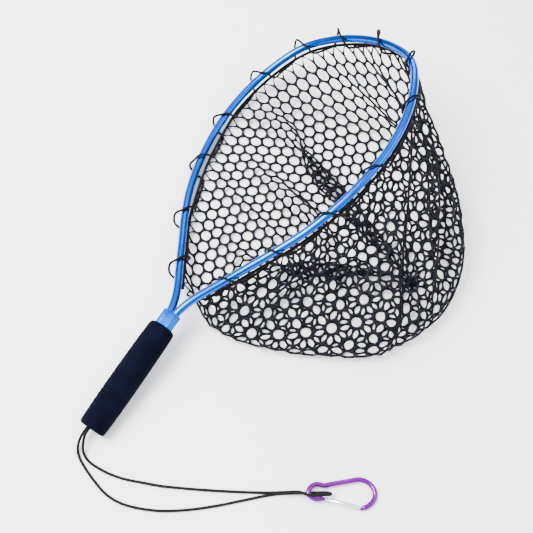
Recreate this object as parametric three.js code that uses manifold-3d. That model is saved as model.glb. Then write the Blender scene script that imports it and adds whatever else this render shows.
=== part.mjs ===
// Landing net at rest on the ground, millimetres, +Z up.
// The butt of the grip, the left side of the hoop and the slumped rubber bag all touch z = 0.
// +X runs along the handle towards the hoop's tip, and +Y is the left of someone holding the net.
import * as THREE from 'three';
import { mergeVertices } from 'three/addons/utils/BufferGeometryUtils.js';
import Module from 'manifold-3d';

const wasm = await Module();
wasm.setup();

// ---------------------------------------------------------------- driving dimensions

// Where the frame lies: the sleeve's mouth is the frame's own origin, x to the tip, z away from the bag.
const MOUTH = new THREE.Vector3(-128.8, 55.6, 36.95);
const PITCH = THREE.MathUtils.degToRad(8.83);
const ROLL = THREE.MathUtils.degToRad(29.55);

const TUBE_R = 4.6;                 // hoop tube, 9.2 mm outside
const TUBE_BORE_R = 3.7;
const END_HALF_GAP = 4.7;           // half the distance between the hoop's two ends in the sleeve
const HOOP_STEPS = 82;
// Right half of the hoop from its end in the sleeve to the tip, in the frame's own plane.
const HOOP_HALF = [
  [-70, END_HALF_GAP], [-35, END_HALF_GAP], [-6, END_HALF_GAP], [0, 4.8], [20, 12.4], [67, 47], [145, 101],
  [215, 125.5], [275, 129.3], [330, 115], [374, 86], [392.5, 48], [399, 0],
];

const SLEEVE_R = 10.35;             // fluted handle tube
const SLEEVE_BORE_R = 9.8;
const FLUTES = 28;
const FLUTE_DEPTH = 0.25;
const SLEEVE_END = -145.2;

const GRIP_BORE_R = 10.65;
// Half profile of the foam: distance along the handle, radius.
const GRIP_PROFILE = [
  [-148, 12.6], [-147.2, 14.1], [-144.5, 15], [-128, 15.6], [-95, 16], [-45, 15.7], [-24, 15],
  [-19.2, 14.1], [-18, 12.6],
];

const PIN_R = 1.5;
const PIN_PLACES = { hoop_pin_front: -28, hoop_pin_rear: -56 };

const CORD_R = 1.5;                 // elastic lanyard, 3 mm
const EXITS = [new THREE.Vector2(1.5, 1.8), new THREE.Vector2(4.7, 1.8)];   // the two strands in the plug
const PLUG = { end: -147.5, flange: 2, flangeR: 10.3, bodyR: 9.4, inner: -130 };
const KNOT = { x: -123, r: 6.6 };

const ROPE_R = 1.8;                 // head rope along the bag's top edge
const ROPE_DROP = 9.7;              // from the tube's centre line
const ROPE_LOWEST = 5.4;            // it rests on the lashing's turns
const ROPE_SPAN = [0.035, 0.962];    // its ends are tied off short of the throat
const BAG_DROP = 16.2;
const BAG_WALL = 2.2;
const BAG_FOOT = new THREE.Vector3(176, -84, 0);   // middle of its underside, from under the mouth
const BAG_STATIONS = 44;
const BAG_WALL_ROWS = 5;

const LASH_R = 1.2;                 // lashing cord
// Where the turns sit, as shares of the way round the free hoop.
const LASH_PLACES = [
  0.045, 0.105, 0.175, 0.245, 0.34, 0.41, 0.475, 0.535, 0.59, 0.655, 0.73, 0.8, 0.88, 0.955,
];
const LASH_FLOOR = 1.65;            // its centre line when it lies on the ground

// Carabiner, in its own plane: x along the gate, y from the gate to the spine, z across.
const BAR_R = 2.6;
const CARABINER_PLACE = new THREE.Vector3(-78.6, -222.6, 0);   // its narrow end, from under the mouth
const CARABINER_TURN = THREE.MathUtils.degToRad(-70.2);
const CARABINER_LIFT = 6.05;        // narrow end rides over one strand of the lanyard
const CARABINER_TILT = Math.asin((CARABINER_LIFT - BAR_R) / 66.7);
const SPINE = [
  [15.6, -0.2], [12, -1.3], [8.2, -2.2], [3.9, -1.1], [0.8, 0.6], [0, 4.2], [1.4, 8.6], [4.8, 12.2],
  [9, 13.4], [13.2, 13.3], [22, 17.2], [35, 23], [48.5, 28.6], [57.5, 27.6], [63.6, 23.2], [66.7, 17],
  [65.8, 10.2], [62, 4.4], [56.6, 0.3],
];
const HINGE_X = 20.6;
const GATE = { start: 17.6, end: 54.4, r: 2.5, slot: 2.4, slotEnd: 24, bore: 1.4, boreEnd: 43 };
const HEEL = { reach: 2.1, half: 1.5 };   // square end of the hinge tongue, facing the plunger
const NOSE = { pin: 52.6, slotStart: 50.4, slot: 1.9, tongue: 1.2 };

// ---------------------------------------------------------------- materials

const finish = (color, roughness, metalness) => new THREE.MeshStandardMaterial({ color, roughness, metalness });
const BLUE = finish(0x0b62e0, 0.28, 0.9);
const SLEEVE_BLUE = finish(0x0a74ee, 0.34, 0.85);
const FOAM = finish(0x171a26, 0.9, 0);
const RUBBER = finish(0x14151a, 0.55, 0);
const CORD = finish(0x101012, 0.6, 0);
const PLASTIC = finish(0x1a1a1e, 0.5, 0);
const STEEL = finish(0xb9bcc2, 0.3, 1);
const VIOLET = finish(0xb06ae0, 0.3, 0.8);
const SILVER = finish(0xdfe1e8, 0.25, 0.9);

// ---------------------------------------------------------------- helpers

/** A regular polygon of n sides, its corners on a circle of radius r round (x, y). */
function polygon(r, n, x = 0, y = 0) {
  return Array.from({ length: n }, (_, i) => {
    const turn = (i / n) * 2 * Math.PI;
    return new THREE.Vector2(x + r * Math.cos(turn), y + r * Math.sin(turn));
  });
}

/** A round or hollow bar swept along a smooth curve through the points. */
function bar(points, r, sides, steps, boreR = 0) {
  const section = new THREE.Shape(polygon(r, sides));
  if (boreR > 0) section.holes.push(new THREE.Path(polygon(boreR, 6)));
  const path = new THREE.CatmullRomCurve3(points, false, 'centripetal');
  return new THREE.ExtrudeGeometry(section, { steps, extrudePath: path });
}

/** A turned piece: a closed profile of [distance along +X, radius] pairs. */
function turned(profile, sides) {
  const closed = [...profile, profile[0]].map(([x, r]) => new THREE.Vector2(r, x));
  return new THREE.LatheGeometry(closed, sides).rotateZ(-Math.PI / 2);
}

/** A plain cylinder from a to b. */
function pin(a, b, r, sides = 12) {
  const length = a.distanceTo(b);
  const turn = new THREE.Quaternion().setFromUnitVectors(
    new THREE.Vector3(0, 1, 0), b.clone().sub(a).normalize());
  const middle = a.clone().lerp(b, 0.5);
  return new THREE.CylinderGeometry(r, r, length, sides).applyQuaternion(turn)
    .translate(middle.x, middle.y, middle.z);
}

function block(x0, x1, y0, y1, z0, z1) {
  return new THREE.BoxGeometry(x1 - x0, y1 - y0, z1 - z0)
    .translate((x0 + x1) / 2, (y0 + y1) / 2, (z0 + z1) / 2);
}

function toSolid(geometry) {
  const bare = geometry.clone();
  bare.deleteAttribute('normal');
  bare.deleteAttribute('uv');
  const merged = mergeVertices(bare, 1e-4);
  return new wasm.Manifold(new wasm.Mesh({
    numProp: 3,
    vertProperties: new Float32Array(merged.attributes.position.array),
    triVerts: new Uint32Array(merged.index.array),
  }));
}

function toGeometry(solid) {
  const mesh = solid.getMesh();
  const geometry = new THREE.BufferGeometry();
  geometry.setAttribute('position', new THREE.BufferAttribute(mesh.vertProperties, 3));
  geometry.setIndex(new THREE.BufferAttribute(mesh.triVerts, 1));
  geometry.computeVertexNormals();
  return geometry;
}

const without = (geometry, ...cuts) => toGeometry(
  cuts.reduce((solid, cut) => solid.subtract(toSolid(cut)), toSolid(geometry)));
const joined = (...pieces) => toGeometry(
  pieces.slice(1).reduce((solid, piece) => solid.add(toSolid(piece)), toSolid(pieces[0])));

function add(group, name, geometry, material) {
  const mesh = new THREE.Mesh(geometry, material);
  mesh.name = name;
  group.add(mesh);
  return mesh;
}

// ---------------------------------------------------------------- groups

const landingNet = new THREE.Group();
const frame = new THREE.Group();             // hoop and handle, in the frame's own axes
frame.position.copy(MOUTH);
frame.rotation.set(-ROLL, -PITCH, 0, 'YXZ');
frame.updateMatrix();
landingNet.add(frame);

const ground = new THREE.Group();            // what lies on the ground, measured from under the mouth
ground.position.set(MOUTH.x, MOUTH.y, 0);
landingNet.add(ground);

/** From the frame's own axes to the ground group's. */
const toGround = (v) => v.clone().applyMatrix4(frame.matrix).sub(ground.position);

// ---------------------------------------------------------------- hoop and handle

const hoopPoints = [
  ...HOOP_HALF.map(([x, y]) => new THREE.Vector3(x, -y, 0)),
  ...HOOP_HALF.slice(0, -1).reverse().map(([x, y]) => new THREE.Vector3(x, y, 0)),
];
const hoopCurve = new THREE.CatmullRomCurve3(hoopPoints, false, 'centripetal');

function buildHandle() {
  const pinCut = (x) => pin(new THREE.Vector3(x, -12, 0), new THREE.Vector3(x, 12, 0), PIN_R + 0.3);
  const cuts = Object.values(PIN_PLACES).map(pinCut);

  const hoop = bar(hoopPoints, TUBE_R, 10, HOOP_STEPS, TUBE_BORE_R);
  add(frame, 'hoop_tube', without(hoop, ...cuts), BLUE);

  const outline = polygon(SLEEVE_R, 2 * FLUTES).map(
    (corner, i) => (i % 2 ? corner.multiplyScalar(1 - FLUTE_DEPTH / SLEEVE_R) : corner));
  const section = new THREE.Shape(outline);
  section.holes.push(new THREE.Path(polygon(SLEEVE_BORE_R, 32)));
  const sleeve = new THREE.ExtrudeGeometry(section, { depth: -SLEEVE_END, bevelEnabled: false })
    .rotateY(Math.PI / 2).translate(SLEEVE_END, 0, 0);
  add(frame, 'handle_tube', without(sleeve, ...cuts), SLEEVE_BLUE);

  for (const [name, x] of Object.entries(PIN_PLACES)) {
    const reach = SLEEVE_R - 0.3;
    add(frame, name, pin(new THREE.Vector3(x, -reach, 0), new THREE.Vector3(x, reach, 0), PIN_R), STEEL);
  }

  const foam = turned([[-148, GRIP_BORE_R], ...GRIP_PROFILE, [-18, GRIP_BORE_R]], 28);
  add(frame, 'foam_grip', foam, FOAM);
}

function buildButt() {
  const { end, flange, flangeR, bodyR, inner } = PLUG;
  const body = turned(
    [[end, 0], [end, flangeR], [end + flange, flangeR], [end + flange, bodyR], [inner, bodyR], [inner, 0]], 28);
  const [a, b] = EXITS;
  const strandHole = (e) => pin(
    new THREE.Vector3(end - 1, e.x, e.y), new THREE.Vector3(inner + 1, e.x, e.y), CORD_R + 0.3, 16);
  const between = block(end - 1, inner + 1, a.x, b.x, a.y - CORD_R - 0.2, a.y + CORD_R + 0.2);
  add(frame, 'butt_plug', without(body, strandHole(a), strandHole(b), between), PLASTIC);

  const knot = new THREE.SphereGeometry(KNOT.r, 16, 10).scale(0.85, 1, 0.9).translate(KNOT.x, 0.6, 0.4);
  add(frame, 'lanyard_knot', knot, CORD);
}

// ---------------------------------------------------------------- net

/** A place along the free hoop, t from 0 at the right of the throat to 1 at the left, on the ground axes. */
function station(t) {
  const u = THREE.MathUtils.lerp(THROAT_U, 1 - THROAT_U, t);
  const centre = hoopCurve.getPointAt(u);
  const along = hoopCurve.getTangentAt(u);
  const out = new THREE.Vector3(along.y, -along.x, 0);
  const origin = toGround(new THREE.Vector3());
  const turn = (v) => toGround(v).sub(origin).normalize();
  return { centre: toGround(centre), along: turn(along), out: turn(out), up: turn(new THREE.Vector3(0, 0, 1)) };
}

/** A point beside the tube: r from its centre line, turned from straight under it towards the inside. */
function beside(place, r, angle) {
  return place.centre.clone()
    .addScaledVector(place.up, -r * Math.cos(angle))
    .addScaledVector(place.out, -r * Math.sin(angle));
}

/** The least turn towards the inside of the hoop that keeps a point above the given height. */
function hangAngle(place, r, lowest) {
  const degree = Math.PI / 180;
  let angle = 0;
  while (angle < 100 * degree && beside(place, r, angle).z < lowest) angle += degree;
  return angle;
}

const THROAT_U = 92 / hoopCurve.getLength();   // where the two tubes have parted

function buildHeadRope() {
  const points = Array.from({ length: 37 }, (_, i) => {
    const place = station(THREE.MathUtils.lerp(...ROPE_SPAN, i / 36));
    return beside(place, ROPE_DROP, hangAngle(place, ROPE_DROP, ROPE_LOWEST));
  });
  add(ground, 'head_rope', bar(points, ROPE_R, 8, 64), CORD);
}

// Where the slumped wall meets the ground: place along the hoop, then x and y from under the mouth.
const FOOT_LINE = [
  [0, 9, -12], [0.05, 15, -46], [0.1, 35, -95], [0.15, 64, -146], [0.2, 94, -192], [0.24, 124, -216],
  [0.28, 170, -228], [0.33, 233, -219], [0.38, 282, -189], [0.44, 315, -142], [0.51, 336, -80],
  [0.57, 347, -14], [0.62, 340, 42], [0.67, 312, 86], [0.74, 249, 96], [0.83, 168, 76], [0.92, 88, 38],
  [1, 16, 0],
];
const footCurve = new THREE.CatmullRomCurve3(FOOT_LINE.map(([, x, y]) => new THREE.Vector3(x, y, 0)));

function footPoint(t) {
  const i = Math.max(1, FOOT_LINE.findIndex(([at]) => at >= t));
  const share = (t - FOOT_LINE[i - 1][0]) / (FOOT_LINE[i][0] - FOOT_LINE[i - 1][0]);
  return footCurve.getPoint((i - 1 + share) / (FOOT_LINE.length - 1));
}

const BAG_BULGE = 0.3;              // how far the wall swells outwards, for each millimetre of height

/** The wall's line from the bag's edge to the ground at a place along the hoop. */
function wallLine(t) {
  const place = station(t);
  const edge = beside(place, BAG_DROP, hangAngle(place, BAG_DROP, 4.8));
  const foot = footPoint(t);
  const outward = foot.clone().sub(BAG_FOOT).normalize();
  const hang = edge.clone().addScaledVector(place.up, -0.4 * edge.z);
  hang.z = Math.max(hang.z, 2.5);
  const round = foot.clone().addScaledVector(outward, BAG_BULGE * edge.z).setZ(0.35 * edge.z);
  return new THREE.CubicBezierCurve3(edge, hang, round, foot);
}

function buildBag() {
  const lines = Array.from({ length: BAG_STATIONS }, (_, i) => wallLine(i / (BAG_STATIONS - 1)));
  const outer = [];
  for (let row = 0; row <= BAG_WALL_ROWS; row++) {
    outer.push(lines.map((line) => line.getPoint(row / BAG_WALL_ROWS)));
  }
  const foot = outer[BAG_WALL_ROWS];
  for (const share of [0.06, 0.5]) outer.push(foot.map((p) => p.clone().lerp(BAG_FOOT, share)));

  // The inner skin stands one wall thickness in from the outer one.
  const count = BAG_STATIONS;
  const inner = outer.map((ring, row) => ring.map((p, i) => {
    const round = ring[(i + 1) % count].clone().sub(ring[(i + count - 1) % count]);
    const above = outer[Math.max(row - 1, 0)][i];
    const below = outer[Math.min(row + 1, outer.length - 1)][i];
    const normal = round.cross(above.clone().sub(below)).normalize();
    const place = p.clone().addScaledVector(normal, -BAG_WALL);
    if (row >= BAG_WALL_ROWS) place.set(p.x, p.y, BAG_WALL).lerp(BAG_FOOT.clone().setZ(BAG_WALL), 0.02);
    place.z = Math.max(place.z, BAG_WALL);
    return place;
  }));

  const points = [...outer.flat(), BAG_FOOT.clone(), ...inner.flat(), BAG_FOOT.clone().setZ(BAG_WALL)];
  const skin = outer.length * count + 1;
  const faces = [];
  for (const [base, flip] of [[0, false], [skin, true]]) {
    const put = (a, b, c) => faces.push(...(flip ? [a, c, b] : [a, b, c]));
    for (let i = 0; i < count; i++) {
      const next = (i + 1) % count;
      for (let row = 0; row < outer.length - 1; row++) {
        const a = base + row * count + i;
        const b = base + row * count + next;
        put(a, a + count, b);
        put(b, a + count, b + count);
      }
      const last = base + (outer.length - 1) * count;
      put(last + i, base + skin - 1, last + next);
    }
  }
  for (let i = 0; i < count; i++) {
    const next = (i + 1) % count;
    faces.push(i, next, skin + i, next, skin + next, skin + i);
  }
  const geometry = new THREE.BufferGeometry();
  geometry.setAttribute('position', new THREE.Float32BufferAttribute(points.flatMap((p) => p.toArray()), 3));
  geometry.setIndex(faces);
  geometry.computeVertexNormals();
  add(ground, 'net_bag', geometry, RUBBER);

  const gather = new THREE.SphereGeometry(1, 14, 8).scale(11, 7, 3.6).translate(182, -178, BAG_WALL + 4);
  add(ground, 'bag_gather', gather, RUBBER);
}

// One turn of the lashing: [along the tube, distance from its centre line, turn round it in degrees],
// counted from straight under the tube towards the inside. The cord runs under the head rope between turns.
const LASH_TURN = [
  [-20, 13.1, 0], [-12, 13.1, 8], [-8, 10.5, 60], [-5, 7.2, 115], [-1, 6.5, 165], [4, 10.5, 215],
  [9, 12.5, 262], [13, 10.5, 305], [17, 12.6, 345],
];

function buildLashing() {
  const free = hoopCurve.getLength() * (1 - 2 * THROAT_U);
  const points = [];
  for (const middle of LASH_PLACES) {
    for (const [along, r, degrees] of LASH_TURN) {
      const place = station(middle + along / free);
      const point = beside(place, r, hangAngle(place, ROPE_DROP, ROPE_LOWEST) + THREE.MathUtils.degToRad(degrees));
      point.z = Math.max(point.z, LASH_FLOOR);
      points.push(point);
    }
  }
  add(ground, 'lashing_cord', bar(points, LASH_R, 6, 270), CORD);

  const ends = { lashing_knot_right: [points[0], -1], lashing_knot_left: [points.at(-1), 1] };
  for (const [name, [end, way]] of Object.entries(ends)) {
    const place = station(way < 0 ? 0 : 1);
    const centre = end.clone().addScaledVector(place.along, 4.4 * way).lerp(place.centre, 0.12);
    const knot = new THREE.SphereGeometry(1, 12, 8).scale(3.2, 3, 2.7).translate(centre.x, centre.y, centre.z);
    add(ground, name, knot, CORD);
  }
}

// ---------------------------------------------------------------- lanyard

// The free part of the lanyard from one hole of the plug, over the carabiner's narrow end, round the
// bight, back under it and to the other hole, measured from under the sleeve's mouth.
const LANYARD_ROUTE = [
  [-151, 2.2, 14.4], [-157, 1, 12.9], [-163, -1.6, 9.4], [-168, -5, 5], [-171.5, -11, 2.2], [-172.8, -19, 1.6],
  [-172.5, -30, 1.6], [-171, -42, 1.6], [-167, -57, 1.6], [-161, -72, 1.6], [-152, -93, 1.6], [-141, -114, 1.6],
  [-126, -141, 1.6], [-110, -168, 1.6], [-97, -189, 2.4], [-88.6, -202.5, 5.9], [-81.5, -214.5, 9.4],
  [-79.5, -224.1, 10.9], [-75.5, -231.4, 12], [-70.5, -238.4, 12.3], [-67.5, -241.5, 10.7], [-64.8, -241.9, 6.9],
  [-64.1, -239.3, 3.2], [-65.8, -235.3, 1.7], [-70.7, -228.2, 1.6], [-75.5, -221.5, 1.6], [-81, -213.6, 1.6],
  [-95, -194.5, 1.6], [-117, -172, 1.6], [-139, -150, 1.6], [-159, -127, 1.6], [-176, -102, 1.6],
  [-188, -73, 1.6], [-190, -53, 1.6], [-185.5, -32, 1.6], [-179.5, -15, 1.6], [-175.5, -6, 1.8],
  [-171, 0, 3.2], [-165, 3.6, 6.6], [-158, 5, 10.5], [-151, 5.2, 12.8],
].map((p) => new THREE.Vector3(...p));

function buildLanyard() {
  const inPlug = (e, x) => toGround(new THREE.Vector3(x, e.x, e.y));
  const [a, b] = EXITS;
  const points = [
    inPlug(a, KNOT.x - 6.2), inPlug(a, -140), inPlug(a, PLUG.end), ...LANYARD_ROUTE,
    inPlug(b, PLUG.end), inPlug(b, -140), inPlug(b, KNOT.x - 6.2),
  ];
  add(ground, 'lanyard_cord', bar(points, CORD_R, 8, 88), CORD);
}

// ---------------------------------------------------------------- carabiner

function buildCarabiner() {
  const carabiner = new THREE.Group();
  carabiner.position.copy(CARABINER_PLACE).setZ(CARABINER_LIFT);
  carabiner.rotation.set(0, CARABINER_TILT, CARABINER_TURN, 'ZYX');
  ground.add(carabiner);
  const across = (x, y, half, r, sides) => pin(
    new THREE.Vector3(x, y, -half), new THREE.Vector3(x, y, half), r, sides);

  // Bent bar with a flat tongue at the hinge and a hooked tongue at the nose.
  const bent = bar(SPINE.map(([x, y]) => new THREE.Vector3(x, y, 0)), BAR_R, 10, 64);
  const hingeHalf = GATE.slot / 2 - 0.3;
  const heel = block(14.5, HINGE_X + HEEL.reach, -HEEL.half, HEEL.half, -hingeHalf, hingeHalf);
  const noseHalf = NOSE.tongue / 2;
  const hook = without(
    block(NOSE.slotStart + 0.5, 57, -1.7, 1, -noseHalf, noseHalf),
    block(NOSE.pin - 1, NOSE.pin + 1, -0.9, 2, -2, 2));
  const body = joined(bent, heel, hook);
  add(carabiner, 'carabiner_body', without(body, across(HINGE_X, 0, 4, 1.1, 16)), VIOLET);

  // Hollow gate, forked at both ends.
  const { start, end, r, slot, slotEnd, bore, boreEnd } = GATE;
  const rod = pin(new THREE.Vector3(start, 0, 0), new THREE.Vector3(end, 0, 0), r, 16);
  const gate = without(
    rod,
    block(start - 1, slotEnd, -4, 4, -slot / 2, slot / 2),
    block(NOSE.slotStart, end + 1, -4, 4, -NOSE.slot / 2, NOSE.slot / 2),
    pin(new THREE.Vector3(slotEnd - 1, 0, 0), new THREE.Vector3(boreEnd, 0, 0), bore, 12),
    across(HINGE_X, 0, 4, 1.1, 16),
    across(NOSE.pin, 0, 4, 0.9, 12));
  add(carabiner, 'carabiner_gate', gate, SILVER);
  add(carabiner, 'gate_pin', across(HINGE_X, 0, r - 0.1, 0.8, 12), STEEL);
  add(carabiner, 'gate_nose_pin', across(NOSE.pin, 0, r - 0.3, 0.6, 10), STEEL);

  // Plunger and spring in the gate's bore.
  const plunger = pin(new THREE.Vector3(HINGE_X + 2.9, 0, 0), new THREE.Vector3(29, 0, 0), 1.05, 10);
  add(carabiner, 'gate_plunger', plunger, STEEL);
  const turns = 6;
  const coil = Array.from({ length: turns * 8 + 1 }, (_, i) => {
    const angle = (i / 8) * 2 * Math.PI;
    const x = THREE.MathUtils.lerp(29.6, 42.3, i / (turns * 8));
    return new THREE.Vector3(x, 0.75 * Math.cos(angle), 0.75 * Math.sin(angle));
  });
  add(carabiner, 'gate_spring', bar(coil, 0.28, 5, turns * 8), STEEL);
}

buildHandle();
buildButt();
buildHeadRope();
buildBag();
buildLashing();
buildLanyard();
buildCarabiner();

export default landingNet;
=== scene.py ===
import math

import bpy
import numpy as np
from mathutils import Matrix, Vector


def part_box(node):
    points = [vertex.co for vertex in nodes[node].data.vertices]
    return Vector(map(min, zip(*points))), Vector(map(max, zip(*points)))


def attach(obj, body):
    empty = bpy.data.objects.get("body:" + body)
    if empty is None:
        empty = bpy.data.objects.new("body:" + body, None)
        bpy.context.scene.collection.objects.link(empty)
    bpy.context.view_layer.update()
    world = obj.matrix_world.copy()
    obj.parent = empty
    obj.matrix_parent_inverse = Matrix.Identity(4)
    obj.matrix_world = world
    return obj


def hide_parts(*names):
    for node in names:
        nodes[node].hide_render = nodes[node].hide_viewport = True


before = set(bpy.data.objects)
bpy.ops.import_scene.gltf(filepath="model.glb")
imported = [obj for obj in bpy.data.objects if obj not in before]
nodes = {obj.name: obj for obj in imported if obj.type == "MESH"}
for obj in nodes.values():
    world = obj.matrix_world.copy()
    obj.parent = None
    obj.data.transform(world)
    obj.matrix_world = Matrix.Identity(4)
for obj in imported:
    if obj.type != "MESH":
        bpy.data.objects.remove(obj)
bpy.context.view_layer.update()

# ---------------------------------------------------------------- the CAD source's numbers, millimetres

MOUTH = np.array([-128.8, 55.6, 36.95])
UNDER = MOUTH * (1, 1, 0)
PITCH, ROLL = math.radians(8.83), math.radians(29.55)
CP, SP, CR, SR = math.cos(PITCH), math.sin(PITCH), math.cos(ROLL), math.sin(ROLL)
TURN = np.array([[CP, 0, -SP], [0, 1, 0], [SP, 0, CP]]) @ np.array([[1, 0, 0], [0, CR, SR], [0, -SR, CR]])

TUBE_R = 4.6
SLEEVE_R, SLEEVE_BORE_R, SLEEVE_END, FLUTES = 10.35, 9.8, -145.2, 28
GRIP = [(-148, 10.65), (-148, 12.2), (-147.5, 13.6), (-145.8, 14.7), (-142, 15.15), (-128, 15.6), (-95, 16),
        (-45, 15.7), (-26, 15.2), (-21, 14.8), (-18.6, 13.7), (-18, 12.3), (-18, 10.65)]
HOOP_HALF = [(-70, 4.7), (-35, 4.7), (-6, 4.7), (0, 4.8), (20, 12.4), (67, 47), (145, 101), (215, 125.5),
             (275, 129.3), (330, 115), (374, 86), (392.5, 48), (399, 0)]
ROPE_R, ROPE_DROP, ROPE_LOWEST = 1.8, 9.7, 5.4
LASH_R, LASH_LOWEST = 1.35, 1.65
LASH_PLACES = [.045, .105, .175, .245, .34, .41, .475, .535, .59, .655, .73, .8, .88, .955]
FOOT_LINE = [(0, 9, -12), (.05, 15, -46), (.1, 35, -95), (.15, 64, -146), (.2, 94, -192), (.24, 124, -216),
             (.28, 170, -228), (.33, 233, -219), (.38, 282, -189), (.44, 315, -142), (.51, 336, -80),
             (.57, 347, -14), (.62, 340, 42), (.67, 312, 86), (.74, 249, 96), (.83, 168, 76), (.92, 88, 38),
             (1, 16, 0)]
MIDDLE = np.array([176, -84, 0.0]) + UNDER
KNOT = np.array([190, -190, 6.0]) + UNDER
ROOT = "net"
CORD_R = 1.5
EXITS = [(1.5, 1.8), (4.7, 1.8)]
PLUG_INSIDE, PLUG_FACE = -140, -147.5
LANYARD_ROUTE = [
    (-151, 2.2, 14.4), (-157, 1, 12.9), (-163, -1.6, 9.4), (-168, -5, 5), (-171.5, -11, 2.2), (-172.8, -19, 1.6),
    (-172.5, -30, 1.6), (-171, -42, 1.6), (-167, -57, 1.6), (-161, -72, 1.6), (-152, -93, 1.6), (-141, -114, 1.6),
    (-126, -141, 1.6), (-110, -168, 1.6), (-97, -189, 2.4), (-88.6, -202.5, 5.9), (-81.5, -214.5, 9.4),
    (-79.5, -224.1, 10.9), (-75.5, -231.4, 12), (-70.5, -238.4, 12.3), (-67.5, -241.5, 10.7), (-64.8, -241.9, 6.9),
    (-64.1, -239.3, 3.2), (-65.8, -235.3, 1.7), (-70.7, -228.2, 1.6), (-75.5, -221.5, 1.6), (-81, -213.6, 1.6),
    (-95, -194.5, 1.6), (-117, -172, 1.6), (-139, -150, 1.6), (-159, -127, 1.6), (-176, -102, 1.6),
    (-188, -73, 1.6), (-190, -53, 1.6), (-185.5, -32, 1.6), (-179.5, -15, 1.6), (-175.5, -6, 1.8),
    (-171, 0, 3.2), (-165, 3.6, 6.6), (-158, 5, 10.5), (-151, 5.2, 12.8)]
BAR_R = 2.6
CARABINER_AT = np.array([-78.6, -222.6, 6.05]) + UNDER
CARABINER_TURN = math.radians(-70.2)
CARABINER_TILT = math.asin((6.05 - 2.6) / 66.7)
SPINE = [(15.6, -.2), (12, -1.3), (8.2, -2.2), (3.9, -1.1), (.8, .6), (0, 4.2), (1.4, 8.6), (4.8, 12.2), (9, 13.4),
         (13.2, 13.3), (22, 17.2), (35, 23), (48.5, 28.6), (57.5, 27.6), (63.6, 23.2), (66.7, 17), (65.8, 10.2),
         (62, 4.4), (56.6, .3)]


def to_row(p):
    """From the frame's own axes to the row frame."""
    return np.asarray(p, float) @ TURN.T + MOUTH


def smooth_line(points, per_span=24):
    """A centripetal Catmull-Rom curve through the points, as close points."""
    p = np.asarray(points, float)
    p = np.vstack([2 * p[0] - p[1], p, 2 * p[-1] - p[-2]])
    out = []
    for i in range(len(p) - 3):
        q = p[i:i + 4]
        d = [max(np.linalg.norm(q[k + 1] - q[k]) ** 0.5, 1e-4) for k in range(3)]
        t1 = (q[1] - q[0]) / d[0] - (q[2] - q[0]) / (d[0] + d[1]) + (q[2] - q[1]) / d[1]
        t2 = (q[2] - q[1]) / d[1] - (q[3] - q[1]) / (d[1] + d[2]) + (q[3] - q[2]) / d[2]
        t1, t2 = t1 * d[1], t2 * d[1]
        u = np.linspace(0, 1, per_span, endpoint=False)[:, None]
        out.append(q[1] + u * t1 + u * u * (3 * (q[2] - q[1]) - 2 * t1 - t2) + u ** 3 * (2 * (q[1] - q[2]) + t1 + t2))
    return np.vstack(out + [p[-2][None]])


def distances(line):
    return np.concatenate([[0], np.cumsum(np.linalg.norm(np.diff(line, axis=0), axis=1))])


def along(line, s):
    """Points at the distances s along a line."""
    at = distances(line)
    return np.stack([np.interp(s, at, line[:, k]) for k in range(3)], -1)


def evenly(line, step):
    total = distances(line)[-1]
    return along(line, np.linspace(0, total, max(2, int(round(total / step)) + 1)))


HOOP = smooth_line([(x, -y, 0) for x, y in HOOP_HALF] + [(x, y, 0) for x, y in HOOP_HALF[-2::-1]], 40)
FREE = distances(HOOP)[-1] - 184


def station(t):
    """Centre, tangent, outward and up directions of the free hoop at t, 0 to 1 from the right of the throat."""
    s = 92 + np.asarray(t, float) * FREE
    centre, a, b = along(HOOP, s), along(HOOP, s - 0.5), along(HOOP, s + 0.5)
    d = (b - a) / np.linalg.norm(b - a, axis=-1, keepdims=True)
    out = np.stack([d[..., 1], -d[..., 0], 0 * d[..., 0]], -1)
    up = np.zeros_like(d)
    up[..., 2] = 1
    return to_row(centre), d @ TURN.T, out @ TURN.T, up @ TURN.T


def beside(place, r, angle):
    """r from the tube's centre line, turned from straight under it towards the inside."""
    r, angle = np.asarray(r, float)[..., None], np.asarray(angle, float)[..., None]
    return place[0] - place[3] * r * np.cos(angle) - place[2] * r * np.sin(angle)


def hang_angle(place, r, lowest):
    """The least turn to the inside that keeps a point above the given height."""
    angle = np.zeros(np.shape(place[0])[:-1])
    for _ in range(100):
        low = beside(place, np.full(angle.shape, r), angle)[..., 2] < lowest
        angle = np.where(low, angle + math.radians(1), angle)
    return angle


# ---------------------------------------------------------------- camera

LENS_MM, SENSOR_MM = 66.68, 36
CAMERA_FROM_MOUTH = (-330.07, -337.86, 955.66)
# its right, up and back directions
CAMERA_AXES = (.5514, -.8343, .0010), (.7328, .4849, .4773), (-.3987, -.2624, .8788)

camera = bpy.data.objects.new("camera", bpy.data.cameras.new("camera"))
bpy.context.scene.collection.objects.link(camera)
camera.data.lens, camera.data.sensor_width = LENS_MM, SENSOR_MM
camera.data.clip_start, camera.data.clip_end = 0.05, 20
place = Vector((MOUTH + CAMERA_FROM_MOUTH) / 1000)
camera.matrix_world = Matrix.Translation(place) @ Matrix(CAMERA_AXES).transposed().to_4x4()
bpy.context.scene.camera = camera

# ---------------------------------------------------------------- materials


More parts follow.
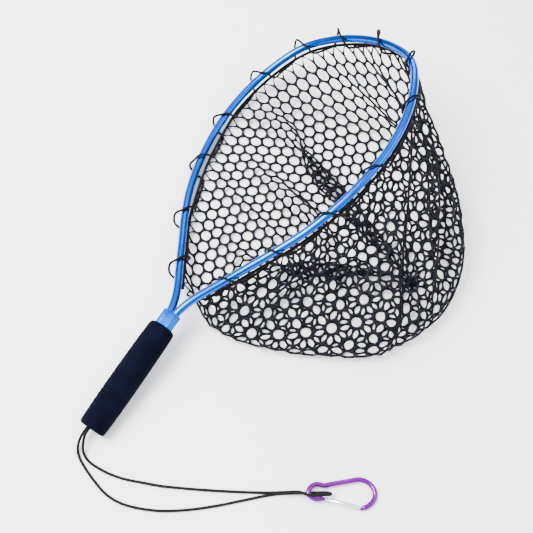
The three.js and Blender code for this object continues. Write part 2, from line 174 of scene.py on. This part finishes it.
class Finish:
    """A node material built up one effect at a time."""

    def __init__(self, name, colour, roughness, metallic=0.0, **sockets):
        self.material = bpy.data.materials.new(name)
        self.material.use_nodes = True
        self.tree = self.material.node_tree
        self.shader = self.tree.nodes["Principled BSDF"]
        self.shader.inputs["Base Color"].default_value = (*colour, 1)
        self.shader.inputs["Roughness"].default_value = roughness
        self.shader.inputs["Metallic"].default_value = metallic
        for socket, value in sockets.items():
            self.shader.inputs[socket.replace("_", " ")].default_value = value
        self.material.diffuse_color = (*colour, 1)
        self.bump = None

    def node(self, kind, **values):
        n = self.tree.nodes.new("ShaderNode" + kind)
        for key, value in values.items():
            if key in n.inputs:
                n.inputs[key].default_value = value
            else:
                setattr(n, key, value)
        return n

    def link(self, a, b):
        self.tree.links.new(a, b)

    def coords(self, stretch=(1, 1, 1), uv=False):
        """Object coordinates in metres, or the mesh's own along and around coordinates."""
        source = self.node("TexCoord").outputs["UV" if uv else "Object"]
        mapping = self.node("Mapping")
        mapping.inputs["Scale"].default_value = stretch
        self.link(source, mapping.inputs["Vector"])
        return mapping.outputs["Vector"]

    def noise(self, scale, detail=3.0, stretch=(1, 1, 1), uv=False):
        n = self.node("TexNoise", Scale=scale, Detail=detail)
        self.link(self.coords(stretch, uv), n.inputs["Vector"])
        return n.outputs["Fac"]

    def ramp(self, fac, low, high, start=0.3, end=0.7):
        n = self.node("ValToRGB")
        n.color_ramp.elements[0].position, n.color_ramp.elements[1].position = start, end
        n.color_ramp.elements[0].color, n.color_ramp.elements[1].color = (*low, 1), (*high, 1)
        self.link(fac, n.inputs["Fac"])
        return n.outputs["Color"]

    def spread(self, fac, low, high):
        n = self.node("MapRange")
        n.inputs["From Min"].default_value, n.inputs["From Max"].default_value = 0.3, 0.7
        n.inputs["To Min"].default_value, n.inputs["To Max"].default_value = low, high
        self.link(fac, n.inputs["Value"])
        return n.outputs["Result"]

    def vary_colour(self, fac, low, high, start=0.3, end=0.7):
        self.link(self.ramp(fac, low, high, start, end), self.shader.inputs["Base Color"])
        return self

    def vary_roughness(self, fac, low, high):
        self.link(self.spread(fac, low, high), self.shader.inputs["Roughness"])
        return self

    def relief(self, fac, depth, strength=1.0):
        """Bump of a depth in metres."""
        n = self.node("Bump", Strength=strength, Distance=depth)
        self.link(fac, n.inputs["Height"])
        if self.bump:
            self.link(self.bump.outputs["Normal"], n.inputs["Normal"])
        self.bump = n
        self.link(n.outputs["Normal"], self.shader.inputs["Normal"])
        return self


def anodised(name, deep, bright, roughness):
    f = Finish(name, bright, roughness, 1.0)
    f.vary_colour(f.noise(35, 4), deep, bright, 0.25, 0.75)
    f.vary_roughness(f.noise(160, 3), roughness - 0.03, roughness + 0.04)
    f.relief(f.noise(1800, 2), 0.00001, 0.15)
    return f.material


def braided(name, colour, painted_sheen):
    """A round braid: two sets of strands crossing on along and around coordinates, with painted shade in the grooves
    between them and a painted sheen on their crests.
    """
    f = Finish(name, colour, 0.5, 0.0, Specular_IOR_Level=0.06)
    waves = []
    for way in (1, -1):
        w = f.node("TexWave", Scale=1.0, Distortion=0.3, wave_type="BANDS", bands_direction="DIAGONAL")
        f.link(f.coords((0.9, 2.6 * way, 1), uv=True), w.inputs["Vector"])
        waves.append(w.outputs["Fac"])
    both = f.node("Math", operation="MAXIMUM")
    f.link(waves[0], both.inputs[0])
    f.link(waves[1], both.inputs[1])
    # painted shade and highlight: the colour follows the braid's relief, darker in the grooves between strands and
    # lighter on the crests, with a painted sheen added there
    f.vary_colour(both.outputs["Value"], tuple(c * 0.4 for c in colour), tuple(c * 1.5 + painted_sheen for c in colour))
    f.vary_roughness(f.noise(600, 3), 0.38, 0.56)
    f.relief(both.outputs["Value"], 0.0002, 0.8)
    return f.material


BLUE = anodised("anodised_blue", (0.0, 0.055, 0.42), (0.0, 0.11, 0.6), 0.2)
SLEEVE_BLUE = anodised("anodised_blue_handle", (0.0, 0.06, 0.36), (0.0, 0.11, 0.5), 0.28)
VIOLET = anodised("anodised_violet", (0.13, 0.006, 0.2), (0.22, 0.015, 0.34), 0.2)

f = Finish("gate_silver", (0.93, 0.93, 0.96), 0.26, 1.0)
f.vary_colour(f.noise(180, 4), (0.86, 0.86, 0.9), (0.95, 0.95, 0.98))
f.vary_roughness(f.noise(900, 4, (1, 1, 6)), 0.2, 0.34)
SILVER = f.material

f = Finish("steel", (0.55, 0.56, 0.6), 0.3, 1.0)
f.vary_colour(f.noise(300, 4), (0.42, 0.43, 0.47), (0.62, 0.63, 0.67))
f.vary_roughness(f.noise(1500, 3), 0.22, 0.4)
STEEL = f.material

f = Finish("foam", (0.002, 0.0025, 0.009), 0.9, 0.0, Specular_IOR_Level=0.03)
cells = f.node("TexVoronoi", Scale=1500.0, feature="F1")
f.link(f.coords(), cells.inputs["Vector"])
f.vary_colour(f.noise(60, 5), (0.0008, 0.001, 0.004), (0.002, 0.0025, 0.009))
f.vary_roughness(f.noise(500, 4), 0.78, 0.95)
f.relief(cells.outputs["Distance"], 0.00025, 0.6)
f.relief(f.noise(260, 4), 0.0002, 0.5)
FOAM = f.material

f = Finish("net_rubber", (0.001, 0.001, 0.003), 0.42, 0.0, Specular_IOR_Level=0.07)
f.vary_colour(f.noise(90, 4), (0.001, 0.001, 0.002), (0.004, 0.004, 0.009))
f.vary_roughness(f.noise(260, 4), 0.34, 0.55)
f.relief(f.noise(1400, 3), 0.00012, 0.4)
RUBBER = f.material

f = Finish("plug_plastic", (0.01, 0.01, 0.013), 0.5)
f.vary_colour(f.noise(120, 3), (0.007, 0.007, 0.009), (0.014, 0.014, 0.018))
f.vary_roughness(f.noise(800, 3), 0.42, 0.6)
f.relief(f.noise(3000, 2), 0.0001, 0.4)
PLASTIC = f.material

CORD = braided("lanyard", (0.004, 0.004, 0.005), 0.003)
LASHING = braided("lashing", (0.003, 0.003, 0.004), 0.002)

# ---------------------------------------------------------------- mesh helpers


def piece(name, vertices, faces, material, body, smooth, uv=None):
    """A mesh in the row frame, from millimetres, that rides on a body and takes its finish from a slot."""
    mesh = bpy.data.meshes.new(name)
    mesh.from_pydata((np.asarray(vertices) / 1000).tolist(), [], [list(map(int, q)) for q in faces])
    mesh.polygons.foreach_set("use_smooth", [smooth] * len(mesh.polygons))
    if uv is not None:
        layer = mesh.uv_layers.new(name="uv")
        loops = np.zeros(len(mesh.loops), int)
        mesh.loops.foreach_get("vertex_index", loops)
        layer.data.foreach_set("uv", np.asarray(uv)[loops].astype(np.float32).ravel())
    mesh.materials.append(material)
    obj = bpy.data.objects.new(name, mesh)
    bpy.context.scene.collection.objects.link(obj)
    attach(obj, body)
    return obj


def tube_mesh(line, radius, sides):
    """A round bar along a line with rounded-off ends: vertices, faces, along and around coordinates."""
    line = np.asarray(line, float)
    count = len(line)
    radius = np.broadcast_to(np.asarray(radius, float), (count,)).copy()
    tangent = np.gradient(line, axis=0)
    tangent /= np.linalg.norm(tangent, axis=1, keepdims=True)
    side = np.cross(tangent[0], (0, 0, 1) if abs(tangent[0][2]) < 0.9 else (1, 0, 0))
    side /= np.linalg.norm(side)
    sides_at = [side]
    for i in range(1, count):
        s = sides_at[-1] - tangent[i] * (sides_at[-1] @ tangent[i])
        sides_at.append(s / np.linalg.norm(s))
    e1 = np.array(sides_at)
    e2 = np.cross(tangent, e1)
    a = np.arange(sides) / sides * 2 * np.pi
    ring = e1[:, None] * np.cos(a)[None, :, None] + e2[:, None] * np.sin(a)[None, :, None]
    rings = line[:, None] + ring * radius[:, None, None]
    ends = []
    for i, way in ((0, -1), (count - 1, 1)):
        for share in (0.55, 0.85):
            ends.append(line[i] + tangent[i] * way * radius[i] * share * 0.4
                        + ring[i] * radius[i] * math.sqrt(1 - share * share))
    rings = np.concatenate([[ends[1], ends[0]], rings, [ends[2], ends[3]]])
    total = len(rings)
    caps = np.array([line[0] - tangent[0] * radius[0] * 0.4, line[-1] + tangent[-1] * radius[-1] * 0.4])
    vertices = np.concatenate([rings.reshape(-1, 3), caps])
    i, j = np.meshgrid(np.arange(total - 1), np.arange(sides), indexing="ij")
    i, j = i.ravel(), j.ravel()
    k = (j + 1) % sides
    faces = np.stack([i * sides + j, i * sides + k, (i + 1) * sides + k, (i + 1) * sides + j], 1).tolist()
    first, last = total * sides, total * sides + 1
    for j in range(sides):
        k = (j + 1) % sides
        faces.append([first, k, j])
        faces.append([last, (total - 1) * sides + j, (total - 1) * sides + k])
    s = np.concatenate([[0, 0], distances(line), [distances(line)[-1]] * 2])
    uv = np.stack([np.repeat(s, sides), np.tile(np.arange(sides) / sides * 6, total)], 1)
    return vertices, faces, np.concatenate([uv, [[0, 0], [s[-1], 0]]])


def tube(name, line, radius, sides, material, body):
    vertices, faces, uv = tube_mesh(line, radius, sides)
    return piece(name, vertices, faces, material, body, True, uv)


def lathe(name, profile, sides, material, body, place, flute=None):
    """A turned closed profile of (along x, radius).

    place is the function from its own axes to the row frame, and flute gives the depth of its flutes.
    """
    profile = np.asarray(profile, float)
    a = np.arange(sides) / sides * 2 * np.pi
    r = np.repeat(profile[:, 1:2], sides, axis=1)
    if flute is not None:
        r = r - flute(profile)[:, None] * (0.5 - 0.5 * np.cos(a * FLUTES))[None, :]
    points = np.stack([np.repeat(profile[:, :1], sides, axis=1), r * np.cos(a), r * np.sin(a)], -1)
    n = len(profile)
    i, j = np.meshgrid(np.arange(n), np.arange(sides), indexing="ij")
    i, j = i.ravel(), j.ravel()
    ii, k = (i + 1) % n, (j + 1) % sides
    faces = np.stack([i * sides + j, ii * sides + j, ii * sides + k, i * sides + k], 1)
    return piece(name, place(points.reshape(-1, 3)), faces, material, body, True)


# ---------------------------------------------------------------- lanyard

route = np.array(LANYARD_ROUTE, float) + UNDER


def in_plug(exit_at, x):
    """A point on the line of one of the plug's two holes."""
    return to_row([x, *exit_at])


cord_line = evenly(smooth_line(
    [in_plug(EXITS[0], PLUG_INSIDE), in_plug(EXITS[0], PLUG_FACE), *route, in_plug(EXITS[1], PLUG_FACE),
     in_plug(EXITS[1], PLUG_INSIDE)], 16), 1.5)
lanyard = tube("lanyard", cord_line, CORD_R, 16, CORD, ROOT)
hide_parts("lanyard_cord")

# ---------------------------------------------------------------- hoop and handle

hoop_line = evenly(to_row(HOOP), 2.5)
hoop = tube("hoop", hoop_line, TUBE_R, 40, BLUE, ROOT)
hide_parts("hoop_tube")

sleeve = lathe(
    "fluted_handle",
    [(SLEEVE_END, SLEEVE_BORE_R), (SLEEVE_END, SLEEVE_R - .3), (SLEEVE_END + .4, SLEEVE_R), (-60, SLEEVE_R),
     (-20, SLEEVE_R), (-10, SLEEVE_R), (-.45, SLEEVE_R), (-.12, SLEEVE_R - .12), (0, SLEEVE_R - .32),
     (0, SLEEVE_BORE_R), (-3, SLEEVE_BORE_R)],
    FLUTES * 10, SLEEVE_BLUE, ROOT, to_row,
    flute=lambda p: np.where(p[:, 1] > SLEEVE_R - .25, 0.5, 0.0))
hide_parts("handle_tube")

grip_profile = smooth_line([(x, r, 0) for x, r in GRIP[1:-1]], 5)[:, :2]
grip = lathe("foam_handle", [GRIP[0], *grip_profile, GRIP[-1]], 96, FOAM, ROOT, to_row)
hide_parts("foam_grip")

# ---------------------------------------------------------------- head rope and lashing

t = np.linspace(0.012, 0.985, 300)
spot = station(t)
rope_line = beside(spot, np.full(len(t), ROPE_DROP), hang_angle(spot, ROPE_DROP, ROPE_LOWEST))
# a running mean of nine points takes out the corner where the rope meets the ground
kernel = np.ones(9) / 9
rope_line[4:-4] = np.stack([np.convolve(rope_line[:, k], kernel, "valid") for k in range(3)], 1)
rope = tube("rim_rope", evenly(rope_line, 2.0), ROPE_R, 12, LASHING, ROOT)
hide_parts("head_rope")

# the turns on the high side are pulled tight, and those on the low side stand off the tube in loops
rng = np.random.default_rng(5)
points = []
for middle in LASH_PLACES:
    tight = middle < 0.47
    slack = 2.2 if tight else 4.6 + 1.6 * rng.random()
    lean = 1.0 if tight else 1.15
    # (along the hoop, from the tube's centre line, degrees round from the rope)
    shape = [(-20, 13.1, 0), (-12, 13.1, 8), (-8, 10.5, 60), (-5, 7.2, 115), (-1, 6.4, 165),
             (4, 6.4 + slack, 215), (9, 6.9 + slack, 262), (13, 7.4 + 0.55 * slack, 305), (17, 12.6, 345)]
    for at, r, degrees in shape:
        spot = station(middle + at * lean / FREE)
        angle = hang_angle(spot, ROPE_DROP, ROPE_LOWEST) + math.radians(degrees)
        p = beside(spot, r, angle)
        p[2] = max(p[2], LASH_LOWEST)
        points.append(p)
lash_line = evenly(smooth_line(points, 12), 1.1)
lash = tube("lashing", lash_line, LASH_R, 10, LASHING, ROOT)
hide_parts("lashing_cord")

# ---------------------------------------------------------------- netting

COLUMNS, WALL_ROWS, PITCH_MM = 66, 12, 14.6
CAP_ROWS = COLUMNS // 6
ROWS = WALL_ROWS + CAP_ROWS
PITCH_SPREAD = 0.025            # standard deviation of a strand's length, as a share of it
GATHERED_MM = 3.0               # the pitch of the last rings, which the knot gathers
SLIP, TAUT_AT = 1.0, 0.78       # how far the lower rings slip round, and where on the hoop they are tautest
GROUND_MM, ON_GROUND_MM = 1.5, 1.7
SPEED_KEPT, FALL_MM, GRIP_OF_GROUND = 0.85, 0.35, 0.7
CORNER_UP, STRAND_UP = 1.3, 1.15        # half the netting's thickness
CORNER_IN, STRAND_IN = 2.35, 1.28       # half a strand's width, and the hole's rounded corners
SHOULDER = 0.72                         # thickness left at the strands' rounded edges


def foot(t):
    """Where the bag meets the ground, under the hoop's place t."""
    count = len(FOOT_LINE)
    line = smooth_line([(x, y, 0) for _, x, y in FOOT_LINE], 24) + UNDER
    at = np.interp(np.linspace(0, count - 1, len(line)), np.arange(count), [place[0] for place in FOOT_LINE])
    return np.stack([np.interp(t, at, line[:, k]) for k in range(3)], -1)


def slump(count=144, fine=60):
    """Lines from the rope to the knot over the slumped bag: points at equal shares of each line."""
    t = (np.arange(count) + 0.5) / count
    spot = station(t)
    edge = beside(spot, np.full(count, ROPE_DROP), hang_angle(spot, ROPE_DROP, ROPE_LOWEST))
    tall = edge[:, 2:3]
    ground = foot(t)
    outward = ground - MIDDLE
    outward /= np.linalg.norm(outward, axis=1, keepdims=True)
    hang = edge - spot[3] * 0.4 * tall
    hang[:, 2] = np.maximum(hang[:, 2], 2.5)
    bulge = ground + outward * 0.3 * tall
    bulge[:, 2] = 0.35 * edge[:, 2]
    u = np.linspace(0, 1, 25)[:, None, None]
    wall = (1 - u) ** 3 * edge + 3 * u * (1 - u) ** 2 * hang + 3 * u * u * (1 - u) * bulge + u ** 3 * ground
    inward = -spot[2].copy()
    inward[:, 2] = 0
    inward /= np.linalg.norm(inward, axis=1, keepdims=True)
    reach = np.linalg.norm(KNOT - ground, axis=1)[:, None]
    v = np.linspace(0, 1, 25)[1:, None, None]
    floor = (1 - v) ** 2 * ground + 2 * v * (1 - v) * (ground + inward * reach * 0.8) + v * v * KNOT
    floor[..., 2] = 1.4
    paths = np.concatenate([wall, floor])
    grid = [along(paths[:, i], np.linspace(0, 1, fine) * distances(paths[:, i])[-1]) for i in range(count)]
    return np.array(grid)


def on_slump(grid, t, s):
    """A point at share s down the line at t."""
    count, fine = grid.shape[:2]
    i, j = (np.asarray(t) * count - 0.5) % count, np.clip(s, 0, 1) * (fine - 1)
    i0, j0 = np.floor(i).astype(int), np.minimum(np.floor(j).astype(int), fine - 2)
    a, b = (i - i0)[..., None], (j - j0)[..., None]
    i0, i1 = i0 % count, (i0 + 1) % count
    return ((1 - a) * ((1 - b) * grid[i0, j0] + b * grid[i0, j0 + 1])
            + a * ((1 - b) * grid[i1, j0] + b * grid[i1, j0 + 1]))


def net_plan():
    """The holes' centres in rings from the rope to the middle of the bottom, and the triangles between them."""
    sizes = [COLUMNS] * (WALL_ROWS + 1) + [6 * m for m in range(CAP_ROWS - 1, 0, -1)] + [1]
    first = np.concatenate([[0], np.cumsum(sizes)])
    t = [(np.arange(n) + (0.5 * (r % 2) if r <= WALL_ROWS else 0.0)) / n for r, n in enumerate(sizes)]
    triangles = []
    for r in range(len(sizes) - 1):
        n, m = sizes[r], sizes[r + 1]
        if m == 1:
            triangles += [(first[r] + i, first[r] + (i + 1) % n, first[r + 1]) for i in range(n)]
            continue
        i = j = 0
        while i < n or j < m:
            # the next step is along whichever ring leaves the shorter link
            next_i, next_j = t[r][0] + (i + 1) / n, t[r + 1][0] + (j + 1) / m
            at_i, at_j = t[r][0] + i / n, t[r + 1][0] + j / m
            if j >= m or (i < n and abs(next_i - at_j) <= abs(next_j - at_i)):
                triangles.append((first[r] + i % n, first[r] + (i + 1) % n, first[r + 1] + j % m))
                i += 1
            else:
                triangles.append((first[r] + i % n, first[r + 1] + (j + 1) % m, first[r + 1] + j % m))
                j += 1
    ring = np.repeat(np.arange(len(sizes)), sizes)
    return np.concatenate(t), ring, np.array(triangles)


def settle(steps=150, inner=16):
    """The netting draws up to its own pitch under its weight, tied at the rope and bunched at the knot."""
    grid = slump()
    t, ring, triangles = net_plan()
    share = ring / ROWS
    # the lower rings slip round to the loose side, which leaves the low side taut
    t = t + SLIP * np.minimum(share, WALL_ROWS / ROWS) * np.sin(2 * np.pi * (t - TAUT_AT)) / (2 * np.pi)
    target = on_slump(grid, t, share)
    rng = np.random.default_rng(7)
    edges, opposite = {}, {}
    for a, b, c in triangles:
        for i, j, k in ((a, b, c), (b, c, a), (c, a, b)):
            key = (min(i, j), max(i, j))
            edges[key] = True
            opposite.setdefault(key, []).append(k)
    edges = np.array(list(edges))
    bends = np.array([v for v in opposite.values() if len(v) == 2])
    rest = PITCH_MM * rng.normal(1, PITCH_SPREAD, len(edges))
    rest[(ring[edges].min(1) >= ROWS - 2)] = GATHERED_MM
    spread = PITCH_MM * math.sqrt(3)
    x = target + rng.normal(0, 0.3, target.shape)
    free = np.ones((len(x), 1))
    free[(ring == 0) | (ring == ROWS)] = 0
    x = np.where(free > 0, x, target)
    x[-1] = KNOT
    valence = np.bincount(edges.ravel(), minlength=len(x))[:, None]
    bend_count = np.maximum(np.bincount(bends.ravel(), minlength=len(x))[:, None], 1)
    # what is high is held lightly to its place, and the edge on the ground of the high side firmly
    held = np.clip(target[:, 2:3] / 40, 0, 1)
    near_foot = np.linalg.norm(target[:, :2] - foot(t)[:, :2], axis=1)
    side = np.clip((0.62 - t) / 0.08, 0, 1) * np.clip((t - 0.005) / 0.02, 0, 1)
    near = side * np.clip(1 - near_foot / 32, 0, 1)
    held = np.maximum(held, 12 * near[:, None])
    outward = foot(t) - MIDDLE
    target += outward / np.linalg.norm(outward, axis=1, keepdims=True) * (10 * near)[:, None]
    before = x.copy()

    def pull(pairs, length, slack, counts, strength):
        """Moves that bring pairs of points towards their length, at a share of the strength if too close."""
        a, b = pairs[:, 0], pairs[:, 1]
        d = x[b] - x[a]
        size = np.linalg.norm(d, axis=1) + 1e-9
        give = ((size - length) / size * np.where(size > length, 1.0, slack))[:, None] * d * 0.5
        push = [np.bincount(a, give[:, k], len(x)) - np.bincount(b, give[:, k], len(x)) for k in range(3)]
        return np.stack(push, 1) / counts * strength

    for _ in range(steps):
        speed = (x - before) * SPEED_KEPT
        before = x.copy()
        x = x + speed * free
        x[:, 2] -= FALL_MM * free[:, 0]
        for _ in range(inner):
            x += pull(edges, rest, 0.5, valence, 2.4) * free
            x += pull(bends, spread, 1.0, bend_count, 0.12) * free
            x[:, 2] = np.maximum(x[:, 2], GROUND_MM)
        x += 0.02 * held * (target - x) * free
        low = (x[:, 2] < ON_GROUND_MM)[:, None]
        x[:, :2] = np.where(low, before[:, :2] + GRIP_OF_GROUND * (x - before)[:, :2], x[:, :2])
    return x, ring, triangles


def knit(x, ring, triangles):
    """Rounded strands with filleted junctions round every hole: one closed mesh."""
    flat = np.cross(x[triangles[:, 1]] - x[triangles[:, 0]], x[triangles[:, 2]] - x[triangles[:, 0]])
    joint = x[triangles].mean(1)
    tied = ring[triangles] == 0
    for i in np.nonzero(tied.sum(1) == 2)[0]:
        joint[i] = x[triangles[i][tied[i]]].mean(0)
    across, fan = {}, {}
    for i, (a, b, c) in enumerate(triangles):
        for p, q in ((a, b), (b, c), (c, a)):
            across.setdefault((min(p, q), max(p, q)), []).append(i)
        for p, q, s in ((a, b, c), (b, c, a), (c, a, b)):
            fan.setdefault(p, {})[q] = (i, s)
    strands = {}
    for pair in across.values():
        if len(pair) == 2:
            strands[tuple(sorted(pair))] = len(strands)
    ends = np.array(list(strands))
    ridge = np.concatenate([joint, joint[ends].mean(1)])
    up = np.concatenate([flat, flat[ends].sum(1)])
    up /= np.linalg.norm(up, axis=1, keepdims=True) + 1e-9
    n, corners = len(ridge), len(joint)
    thick = np.where(np.arange(n) < corners, CORNER_UP, STRAND_UP)[:, None]
    vertices = [ridge + up * thick, ridge - up * thick]
    faces, uses, base = [], np.zeros(len(strands), int), 2 * n
    for cell, steps in fan.items():
        if ring[cell] == 0:
            continue
        order, q = [], next(iter(steps))
        for _ in range(len(steps)):
            i, q = steps[q]
            order.append(i)
        sides = [strands[tuple(sorted((i, j)))] for i, j in zip(order, order[1:] + order[:1])]
        for k in sides:
            uses[k] += 1
        loop = np.array([v for i, k in zip(order, sides) for v in (i, corners + k)])
        count = len(loop)
        p = ridge[loop]
        middle = p.mean(0)
        spoke = p - middle
        size = np.linalg.norm(spoke, axis=1, keepdims=True) + 1e-9
        inset = np.where(loop < corners, CORNER_IN, STRAND_IN)[:, None]
        hole = middle + spoke * np.maximum(1 - inset / size, 0.35)
        lift = up[loop] * thick[loop]
        shoulder = p + (hole - p) * 0.62
        vertices += [shoulder + lift * SHOULDER, hole, shoulder - lift * SHOULDER]
        layers = [loop, base + np.arange(count), base + count + np.arange(count), base + 2 * count + np.arange(count),
                  loop + n]
        for a, b in zip(layers, layers[1:]):
            faces.append(np.stack([a, b, np.roll(b, -1), np.roll(a, -1)], 1))
        base += 3 * count
    # a strand along the rope has a hole on one side only, and is closed on the other
    for k in np.nonzero(uses == 1)[0]:
        (i, j), m = ends[k], corners + k
        faces.append(np.array([[i, m, m + n, i + n], [m, j, j + n, m + n]]))
    vertices = np.concatenate(vertices)
    vertices[:, 2] = np.maximum(vertices[:, 2], 0.15)
    return vertices, np.concatenate(faces)


vertices, faces = knit(*settle())
net = piece("rubber_netting", vertices, faces, RUBBER, ROOT, True)
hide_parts("net_bag")

# ---------------------------------------------------------------- knots


def middle_of(node):
    low, high = (np.array(corner) * 1000 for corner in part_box(node))
    return (low + high) / 2


def wound_knot(name, centre, axis, r, wire, turns, material, node):
    """A few tight turns of cord with a strand tucked across them, in place of a CAD node."""
    axis = np.asarray(axis, float) / np.linalg.norm(axis)
    side = np.cross(axis, (0, 0, 1))
    side /= np.linalg.norm(side)
    over = np.cross(axis, side)
    a = np.linspace(0, turns * 2 * np.pi, turns * 14)
    x = (a / a[-1] - 0.5) * turns * wire * 1.7
    coil = centre + axis * x[:, None] + r * (side * np.cos(a)[:, None] + over * np.sin(a)[:, None])
    u = np.linspace(0, 1, 12)[:, None]
    tuck = coil[-1] + (coil[0] - coil[-1]) * u + (side * 0.6 + over) * np.sin(u * np.pi) * (r + wire)
    line = evenly(smooth_line(np.vstack([coil, tuck[2:-1]]), 3), wire * 0.5)
    obj = tube(name, line, wire, 10, material, ROOT)
    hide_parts(node)


for node, t_end in (("lashing_knot_right", 0.0), ("lashing_knot_left", 1.0)):
    wound_knot(node + "_wound", middle_of(node), station(t_end)[1], 1.9, 0.95, 3, LASHING, node)

wound_knot("stopper_knot", middle_of("lanyard_knot"), TURN @ (1, 0, 0), 3.9, CORD_R, 3, CORD, "lanyard_knot")
wound_knot("net_knot", KNOT + (0, 0, 1.0), (1, 0.5, 0), 3.6, 1.3, 4, RUBBER, "bag_gather")

# ---------------------------------------------------------------- carabiner

CT, ST = math.cos(CARABINER_TURN), math.sin(CARABINER_TURN)
CL, SL = math.cos(CARABINER_TILT), math.sin(CARABINER_TILT)
HOOK = np.array([[CT, -ST, 0], [ST, CT, 0], [0, 0, 1]]) @ np.array([[CL, 0, SL], [0, 1, 0], [-SL, 0, CL]])


def in_hook(p):
    """From the carabiner's own axes to the row frame."""
    return np.asarray(p, float) @ HOOK.T + CARABINER_AT


def slab(name, outline, half, material, body, bevel=0.25):
    """A flat outline with bevelled edges, in the carabiner's own plane."""
    outline = np.asarray(outline, float)
    centre = outline.mean(0)
    inner = centre + (outline - centre) * (1 - bevel / np.linalg.norm(outline - centre, axis=1, keepdims=True))
    n = len(outline)
    layers = [np.c_[inner, np.full(n, -half)], np.c_[outline, np.full(n, bevel - half)],
              np.c_[outline, np.full(n, half - bevel)], np.c_[inner, np.full(n, half)]]
    faces = [list(range(n))[::-1], [3 * n + i for i in range(n)]]
    for layer in range(3):
        for i in range(n):
            j = (i + 1) % n
            faces.append([layer * n + i, layer * n + j, (layer + 1) * n + j, (layer + 1) * n + i])
    return piece(name, in_hook(np.vstack(layers)), faces, material, body, False)


spine = evenly(smooth_line([(x, y, 0) for x, y in SPINE], 16), 0.8)
s = distances(spine)
# the bar is turned down a little at both of its ends
bar_radius = BAR_R - 0.5 * np.exp(-(s / 2.2) ** 2) - 0.7 * np.exp(-((s[-1] - s) / 1.5) ** 2)
body_bar = tube("carabiner_bar", in_hook(spine), bar_radius, 28, VIOLET, ROOT)
tongue = slab("carabiner_tongue", [(14, -1.5), (22.3, -1.5), (22.7, -.9), (22.7, .9), (22.3, 1.5), (14, 1.5)],
              0.85, VIOLET, ROOT)
nose = slab("carabiner_nose",
            [(51, -1.6), (57.5, -1.9), (57.5, 1.6), (54.2, 1), (53.6, -.85), (51.6, -.85), (51, -.3)],
            0.58, VIOLET, ROOT, 0.12)
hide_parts("carabiner_body")

gate_bar = lathe(
    "gate_bar", [(23.9, 0), (23.9, 2.2), (24.2, 2.5), (50, 2.5), (50.25, 2.3), (50.25, 0)], 40, SILVER, "gate",
    in_hook)
gate_ends = []
for side in (1, -1):
    outline = [(24.2, -2.1), (24.2, 2.1), (20.6, 2.2), (18.6, 1.5), (17.7, 0), (18.6, -1.5), (20.6, -2.2)]
    ear = slab(f"gate_ear_{'a' if side > 0 else 'b'}", outline, 0.58, SILVER, "gate", 0.15)
    ear.data.transform(Matrix.Translation(Vector(HOOK @ (0, 0, side * 1.8) / 1000)))
    lip = slab(f"gate_lip_{'a' if side > 0 else 'b'}",
               [(50, -2.2), (54, -1.9), (54.4, -1.2), (54.4, 1.2), (54, 1.9), (50, 2.2)], 0.6, SILVER, "gate",
               0.15)
    lip.data.transform(Matrix.Translation(Vector(HOOK @ (0, 0, side * 1.58) / 1000)))
    gate_ends += [ear, lip]
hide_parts("carabiner_gate")

# ---------------------------------------------------------------- CAD nodes that keep their own shape

for name, material in {
        "butt_plug": PLASTIC, "hoop_pin_front": STEEL, "hoop_pin_rear": STEEL, "gate_pin": STEEL,
        "gate_nose_pin": STEEL, "gate_plunger": STEEL, "gate_spring": STEEL}.items():
    mesh = nodes[name].data
    mesh.materials.clear()
    mesh.materials.append(material)

# ---------------------------------------------------------------- floor and light

floor_mesh = bpy.data.meshes.new("floor")
floor_mesh.from_pydata([(-6, -6, 0), (6, -6, 0), (6, 6, 0), (-6, 6, 0)], [], [(0, 1, 2, 3)])
floor = bpy.data.objects.new("floor", floor_mesh)
bpy.context.scene.collection.objects.link(floor)
f = Finish("floor", (0.93, 0.93, 0.935), 0.7)
f.vary_colour(f.noise(4, 3), (0.92, 0.92, 0.925), (0.94, 0.94, 0.945))
floor_mesh.materials.append(f.material)

world = bpy.data.worlds.new("studio")
bpy.context.scene.world = world
world.use_nodes = True
sky = world.node_tree
height = sky.nodes.new("ShaderNodeSeparateXYZ")
shade = sky.nodes.new("ShaderNodeValToRGB")
sky.links.new(sky.nodes.new("ShaderNodeTexCoord").outputs["Generated"], height.inputs["Vector"])
sky.links.new(height.outputs["Z"], shade.inputs["Fac"])
sky.links.new(shade.outputs["Color"], sky.nodes["Background"].inputs["Color"])
# pale at the horizon, where it meets the floor, then a dark band that edges the bright metal
shade.color_ramp.elements.new(0.13)
for stop, (at, level) in zip(shade.color_ramp.elements, ((0.07, 0.95), (0.13, 0.03), (0.7, 1.0))):
    stop.position, stop.color = at, (level * 0.94, level * 0.97, level, 1)
sky.nodes["Background"].inputs["Strength"].default_value = 2.6


def area_light(name, place, aim, size, power):
    light = bpy.data.lights.new(name, "AREA")
    light.shape, light.size, light.size_y = "RECTANGLE", size[0], size[1]
    light.energy = power
    obj = bpy.data.objects.new(name, light)
    bpy.context.scene.collection.objects.link(obj)
    obj.location = place
    obj.rotation_euler = (Vector(aim) - Vector(place)).to_track_quat("-Z", "Y").to_euler()


area_light("key", (-0.5, 0.6, 1.6), (0, 0, 0), (0.9, 0.9), 95)
area_light("fill", (0.6, -1.5, 1.2), (0, 0, 0), (1.4, 0.8), 16)
area_light("rim", (1.4, 0.8, 0.9), (0.1, 0, 0), (1.0, 0.5), 14)
